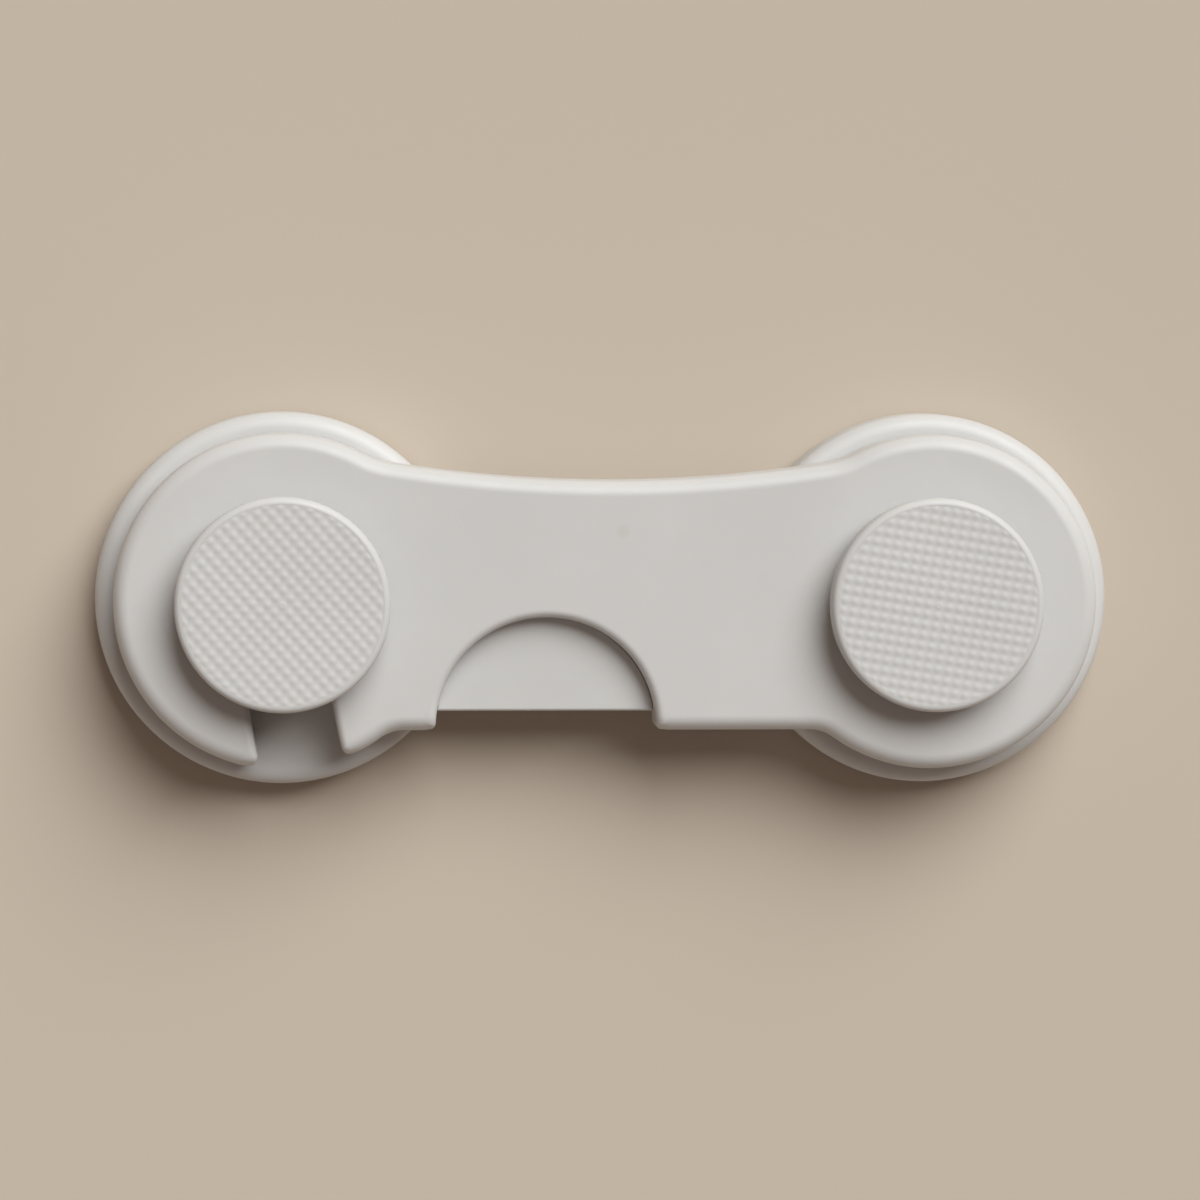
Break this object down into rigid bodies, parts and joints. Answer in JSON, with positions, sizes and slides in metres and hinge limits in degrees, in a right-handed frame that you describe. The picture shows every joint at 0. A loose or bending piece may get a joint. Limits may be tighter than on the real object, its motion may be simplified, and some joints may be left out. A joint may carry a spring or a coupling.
{
  "type": "cabinet safety lock",
  "caption": "Stick-on cabinet safety lock: a dog-bone bar across round bases, hooked at one end and pivoting at the other, with sprung push buttons and a finger notch.",
  "frame": {"origin": "on the adhesive faces, midway between the two posts", "axes": "+X along the bar from the latch post to the pivot post, +Y up on the cabinet, the way the bar's latch end lifts, +Z out of the doors towards the user"},
  "size_m": [0.104, 0.038, 0.0158],
  "materials": {
    "white_plastic": "satin moulded, warm white",
    "inner_plastic": "plain moulded, off-white",
    "foam_pad": "closed-cell adhesive foam",
    "spring_steel": "drawn wire",
    "screw_steel": "zinc plated"
  },
  "bodies": {
    "bases": {"latch_pad": "foam_pad", "latch_base": "white_plastic", "latch_rear_plate": "inner_plastic", "latch_spring": "spring_steel", "pivot_pad": "foam_pad", "pivot_base": "white_plastic", "pivot_rear_plate": "inner_plastic", "pivot_spring": "spring_steel"},
    "bar": {"bar_cover": "white_plastic", "bar_back_plate": "inner_plastic", "bar_screws": "screw_steel"},
    "latch_push": {"latch_plunger": "white_plastic", "latch_screw": "screw_steel", "latch_button": "white_plastic"},
    "pivot_push": {"pivot_plunger": "white_plastic", "pivot_screw": "screw_steel", "pivot_button": "white_plastic"}
  },
  "joints": [
    {"name": "bar_swing", "type": "hinge", "parent": "bases", "child": "bar", "pos_m": [0.033, 0, 0], "axis": [0, 0, -1], "range_deg": [0, 339]},
    {"name": "latch_press", "type": "slide", "parent": "bases", "child": "latch_push", "axis": [0, 0, -1], "range_m": [0, 0.0012], "stiffness_N_per_m": 1300, "deforming": ["latch_spring"]},
    {"name": "pivot_press", "type": "slide", "parent": "bases", "child": "pivot_push", "axis": [0, 0, -1], "range_m": [0, 0.0012], "stiffness_N_per_m": 1300, "deforming": ["pivot_spring"]}
  ]
}
